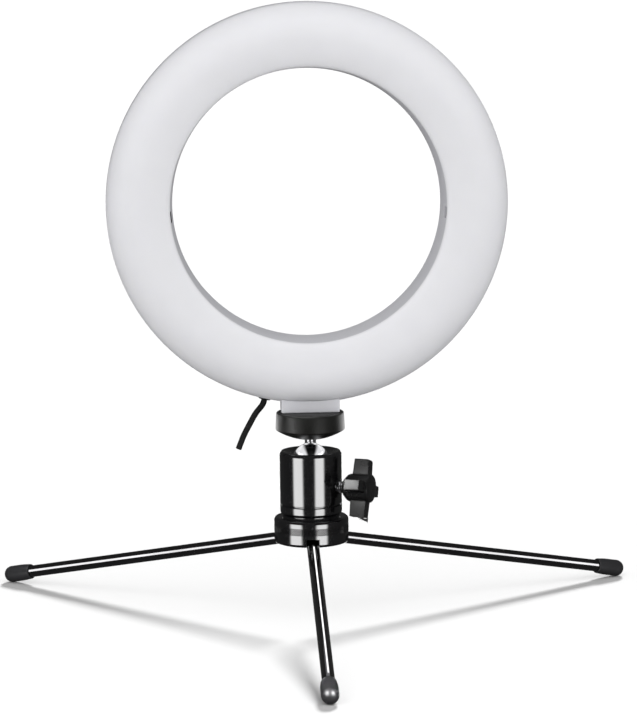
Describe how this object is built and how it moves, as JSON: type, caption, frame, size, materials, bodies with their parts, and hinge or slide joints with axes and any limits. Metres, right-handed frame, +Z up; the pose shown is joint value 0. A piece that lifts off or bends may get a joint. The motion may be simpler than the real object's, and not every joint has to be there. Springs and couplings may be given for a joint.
{
  "type": "ring light",
  "caption": "Desktop ring light: a milky domed light ring on a tab, a ball head with a winged lock knob, and a table stand with fold-down rod legs.",
  "frame": {"origin": "on the floor, under the ball head's vertical axis", "axes": "+Z up; the lamp shines towards -Y; +X is to the right seen from the front, and the stand's wide side lies along it"},
  "size_m": [0.261, 0.2388, 0.2476],
  "materials": {
    "black_anodised": "gloss black anodised",
    "cast_block": "as cast",
    "plain_steel": "zinc plated",
    "nylon": "natural nylon",
    "chrome_steel": "bright chrome thread",
    "black_plastic": "moulded satin black",
    "chrome_ball": "polished",
    "disc_black": "satin black",
    "pad_rubber": "matt",
    "milky_diffuser": "milky satin",
    "shell_white": "fine-textured white",
    "insert_brass": "knurled",
    "board_white": "white solder mask",
    "led_warm": "phosphor yellow",
    "led_cool": "phosphor pale yellow",
    "resistor_black": "chip",
    "screw_black": "black zinc",
    "cable_black": "satin PVC",
    "wire_red": "PVC",
    "black_chrome": "black chrome",
    "cap_rubber": "moulded satin"
  },
  "bodies": {
    "stand_and_housing": {"hub_shell": "black_anodised", "leg_block": "cast_block", "pivot_pins": "plain_steel", "leg_retainer": "plain_steel", "retainer_screw": "plain_steel", "hub_stud": "plain_steel", "ball_head_base": "black_anodised", "ball_housing": "black_anodised"},
    "ball_cup": {"ball_cup": "nylon"},
    "ball_stud": {"ball_stud": "chrome_ball"},
    "pad": {"disc_pad": "pad_rubber"},
    "lock_wheel": {"mount_disc": "disc_black"},
    "light_head": {"front_diffuser": "milky_diffuser", "back_shell": "shell_white", "threaded_insert": "insert_brass", "led_board": "board_white", "warm_leds": "led_warm", "cool_leds": "led_cool", "chip_resistors": "resistor_black", "shell_screws": "screw_black", "cable_grommet": "cable_black", "usb_cable": "cable_black", "lead_wires": "wire_red"},
    "plunger": {"clamp_plunger": "plain_steel"},
    "lock_knob": {"lock_screw": "chrome_steel", "knob_grip": "black_plastic"},
    "leg_front": {"leg_rod_front": "black_chrome", "foot_cap_front": "cap_rubber"},
    "leg_right": {"leg_rod_right": "black_chrome", "foot_cap_right": "cap_rubber"},
    "leg_left": {"leg_rod_left": "black_chrome", "foot_cap_left": "cap_rubber"}
  },
  "joints": [
    {"name": "leg_front_fold", "type": "hinge", "parent": "stand_and_housing", "child": "leg_front", "pos_m": [-0.00014, -0.0075, 0.0328], "axis": [0.9998, -0.0192, 0], "range_deg": [0, 78.2]},
    {"name": "leg_right_fold", "type": "hinge", "parent": "stand_and_housing", "child": "leg_right", "pos_m": [0.00671, 0.00335, 0.0328], "axis": [-0.4462, 0.8949, 0], "range_deg": [0, 78.2]},
    {"name": "leg_left_fold", "type": "hinge", "parent": "stand_and_housing", "child": "leg_left", "pos_m": [-0.00617, 0.00426, 0.0328], "axis": [-0.5678, -0.8231, 0], "range_deg": [0, 78.2]},
    {"name": "ball_pan", "type": "hinge", "parent": "stand_and_housing", "child": "ball_cup", "pos_m": [0, 0, 0.0631], "axis": [0, 0, 1], "continuous": true},
    {"name": "ball_tilt", "type": "hinge", "parent": "ball_cup", "child": "ball_stud", "pos_m": [0, 0, 0.0631], "axis": [1, 0, 0], "range_deg": [-25, 25]},
    {"name": "head_swivel", "type": "hinge", "parent": "ball_stud", "child": "light_head", "pos_m": [0, 0, 0.0841], "axis": [0, 0, 1], "range_deg": [-180, 180]},
    {"name": "pad_travel", "type": "slide", "parent": "ball_stud", "child": "pad", "axis": [0, 0, 1], "range_m": [-0.00127, 0]},
    {"name": "lock_wheel_turn", "type": "hinge", "parent": "pad", "child": "lock_wheel", "pos_m": [0, 0, 0.0807], "axis": [0, 0, 1], "range_deg": [-360, 0]},
    {"name": "plunger_travel", "type": "slide", "parent": "stand_and_housing", "child": "plunger", "axis": [0.9063, -0.4226, 0], "range_m": [0, 0.0008]},
    {"name": "lock_knob_turn", "type": "hinge", "parent": "plunger", "child": "lock_knob", "pos_m": [0, 0, 0.054], "axis": [0.9063, -0.4226, 0], "range_deg": [0, 360]}
  ],
  "couplings": [
    {"joint": "lock_wheel_turn", "follows": "pad_travel", "rad_per_m": 4947.4},
    {"joint": "lock_knob_turn", "follows": "plunger_travel", "rad_per_m": 7854}
  ]
}
